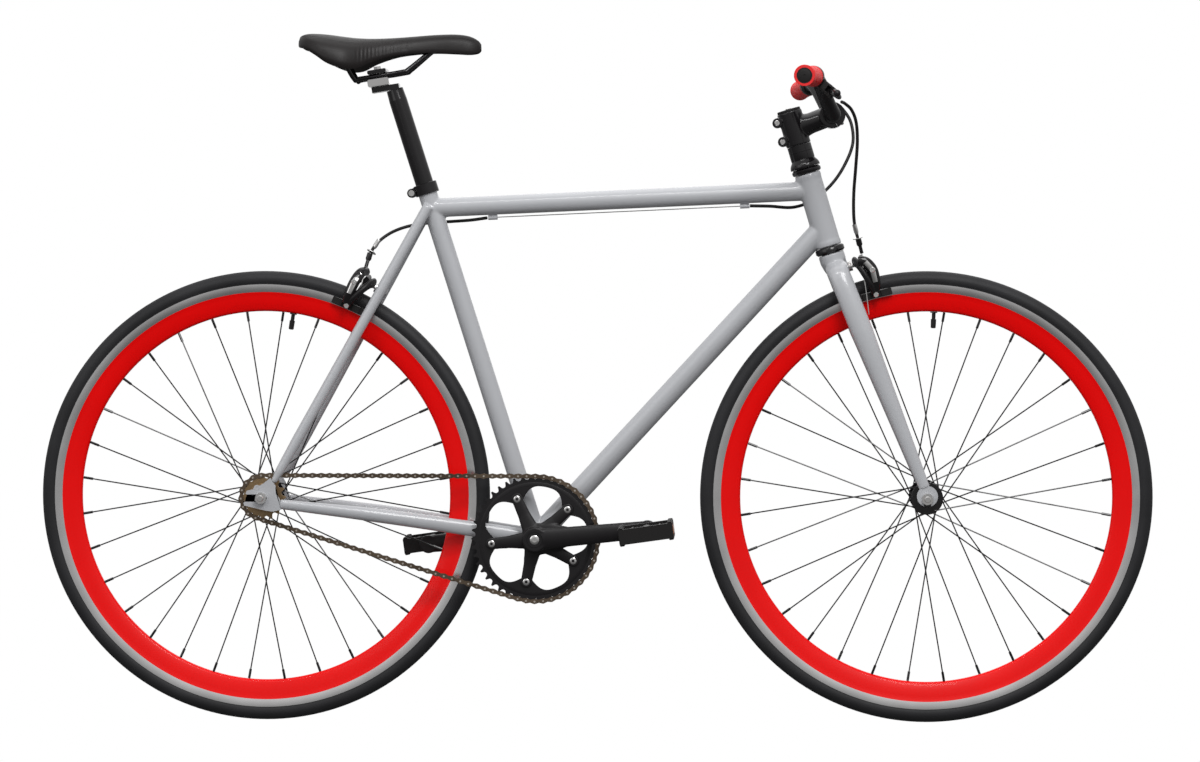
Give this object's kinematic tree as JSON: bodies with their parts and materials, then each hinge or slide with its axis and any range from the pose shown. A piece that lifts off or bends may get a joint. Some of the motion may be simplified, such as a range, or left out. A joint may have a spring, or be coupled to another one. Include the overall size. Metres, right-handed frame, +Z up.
{
  "type": "single-speed bicycle",
  "caption": "Single-speed bicycle with a steel diamond frame, deep red rims, riser bar, caliper brakes, chain drive and narrow saddle.",
  "frame": {"origin": "on the ground, midway between the wheel axles, in the wheels' mid-plane", "axes": "+X forward, +Z up, +Y towards the bicycle's left"},
  "size_m": [1.6574, 0.5816, 1.0245],
  "materials": {
    "frame_grey": "gloss",
    "red_rim": "gloss",
    "red_grip": "matte",
    "tyre": "matte",
    "chrome": "polished",
    "bronze": "satin",
    "saddle_cover": "satin",
    "black_plastic": "satin",
    "black_metal": "satin"
  },
  "bodies": {
    "frame": {"head_tube": "frame_grey", "top_tube": "frame_grey", "down_tube": "frame_grey", "seat_tube": "frame_grey", "bottom_bracket_shell": "frame_grey", "chainstay_right": "frame_grey", "chainstay_left": "frame_grey", "seatstay_right": "frame_grey", "seatstay_left": "frame_grey", "dropout_right": "frame_grey", "dropout_left": "frame_grey", "brake_bridge": "frame_grey", "seat_clamp": "black_metal", "headset_lower_cup": "black_metal", "headset_upper_cup": "black_metal", "cable_stop_front": "frame_grey", "cable_stop_rear": "frame_grey", "rear_axle": "chrome", "chain": "bronze", "rear_cable_front": "black_plastic", "rear_cable_rear": "black_plastic"},
    "steering": {"fork": "frame_grey", "front_axle": "chrome", "headset_cover": "black_metal", "stem": "black_metal", "stem_faceplate": "black_metal", "stem_top_cap": "black_metal", "handlebar": "black_metal", "grip_right": "red_grip", "grip_left": "red_grip", "lever_bracket_right": "black_metal", "lever_bracket_left": "black_metal", "front_cable": "black_plastic"},
    "front_wheel": {"front_tyre": "tyre", "front_rim": "red_rim", "front_spokes_right": "black_metal", "front_spokes_left": "black_metal", "front_hub": "black_metal"},
    "rear_wheel": {"rear_tyre": "tyre", "rear_rim": "red_rim", "rear_spokes_right": "black_metal", "rear_spokes_left": "black_metal", "rear_hub": "black_metal"},
    "freewheel_ring": {"freewheel": "bronze"},
    "crankset": {"chainring": "black_metal", "crank_right": "black_metal", "crank_left": "black_metal", "crank_spindle": "chrome"},
    "right_pedal": {"pedal_right": "black_plastic"},
    "left_pedal": {"pedal_left": "black_plastic"},
    "right_lever": {"brake_lever_right": "black_metal"},
    "left_lever": {"brake_lever_left": "black_metal"},
    "front_arm_right": {"front_brake_arm_right": "black_metal"},
    "front_arm_left": {"front_brake_arm_left": "black_metal"},
    "rear_arm_right": {"rear_brake_arm_right": "black_metal"},
    "rear_arm_left": {"rear_brake_arm_left": "black_metal"},
    "seat": {"seatpost": "black_metal", "saddle_clamp": "chrome", "saddle_rails": "black_metal", "saddle": "saddle_cover"}
  },
  "joints": [
    {"name": "steering_turn", "type": "hinge", "parent": "frame", "child": "steering", "pos_m": [0.348, 0, 0.70834], "axis": [-0.2857, 0, 0.9583], "range_deg": [-60, 60], "deforming": ["rear_cable_front"]},
    {"name": "front_wheel_spin", "type": "hinge", "parent": "steering", "child": "front_wheel", "pos_m": [0.4927, 0, 0.336], "axis": [0, 1, 0], "continuous": true},
    {"name": "rear_wheel_spin", "type": "hinge", "parent": "frame", "child": "rear_wheel", "pos_m": [-0.4927, 0, 0.336], "axis": [0, 1, 0], "continuous": true},
    {"name": "crank_spin", "type": "hinge", "parent": "frame", "child": "crankset", "pos_m": [-0.087, 0, 0.275], "axis": [0, 1, 0], "continuous": true, "deforming": ["chain"]},
    {"name": "freewheel_spin", "type": "hinge", "parent": "frame", "child": "freewheel_ring", "pos_m": [-0.4927, 0, 0.336], "axis": [0, 1, 0], "continuous": true},
    {"name": "right_pedal_spin", "type": "hinge", "parent": "crankset", "child": "right_pedal", "pos_m": [0.08023, 0, 0.2911], "axis": [0, 1, 0], "continuous": true},
    {"name": "left_pedal_spin", "type": "hinge", "parent": "crankset", "child": "left_pedal", "pos_m": [-0.25423, 0, 0.2589], "axis": [0, 1, 0], "continuous": true},
    {"name": "right_lever_pull", "type": "hinge", "parent": "steering", "child": "right_lever", "pos_m": [0.34808, -0.15, 0.93204], "axis": [-0.65, 0, -0.76], "range_deg": [0, 11], "stiffness_Nm_per_rad": 0.6, "springref_deg": -11.46},
    {"name": "left_lever_pull", "type": "hinge", "parent": "steering", "child": "left_lever", "pos_m": [0.34808, 0.15, 0.93204], "axis": [0.65, 0, 0.76], "range_deg": [0, 11], "stiffness_Nm_per_rad": 0.6, "springref_deg": -11.46},
    {"name": "front_arm_right_close", "type": "hinge", "parent": "steering", "child": "front_arm_right", "pos_m": [0.35743, 0, 0.67672], "axis": [0.9583, 0, 0.2857], "range_deg": [0, 1.76]},
    {"name": "front_arm_left_close", "type": "hinge", "parent": "steering", "child": "front_arm_left", "pos_m": [0.35743, 0, 0.67672], "axis": [-0.9583, 0, -0.2857], "range_deg": [0, 1.76]},
    {"name": "rear_arm_right_close", "type": "hinge", "parent": "frame", "child": "rear_arm_right", "pos_m": [-0.31593, 0, 0.64538], "axis": [0.8749, 0, -0.4844], "range_deg": [0, 1.76]},
    {"name": "rear_arm_left_close", "type": "hinge", "parent": "frame", "child": "rear_arm_left", "pos_m": [-0.31593, 0, 0.64538], "axis": [-0.8749, 0, 0.4844], "range_deg": [0, 1.76]},
    {"name": "seatpost_slide", "type": "slide", "parent": "frame", "child": "seat", "axis": [-0.3024, 0, 0.9532], "range_m": [-0.08, 0.05]}
  ],
  "couplings": [
    {"joint": "freewheel_spin", "follows": "crank_spin", "ratio": 2.875},
    {"joint": "front_arm_right_close", "follows": "right_lever_pull", "ratio": 0.16},
    {"joint": "front_arm_left_close", "follows": "right_lever_pull", "ratio": 0.16},
    {"joint": "rear_arm_right_close", "follows": "left_lever_pull", "ratio": 0.16},
    {"joint": "rear_arm_left_close", "follows": "left_lever_pull", "ratio": 0.16}
  ]
}
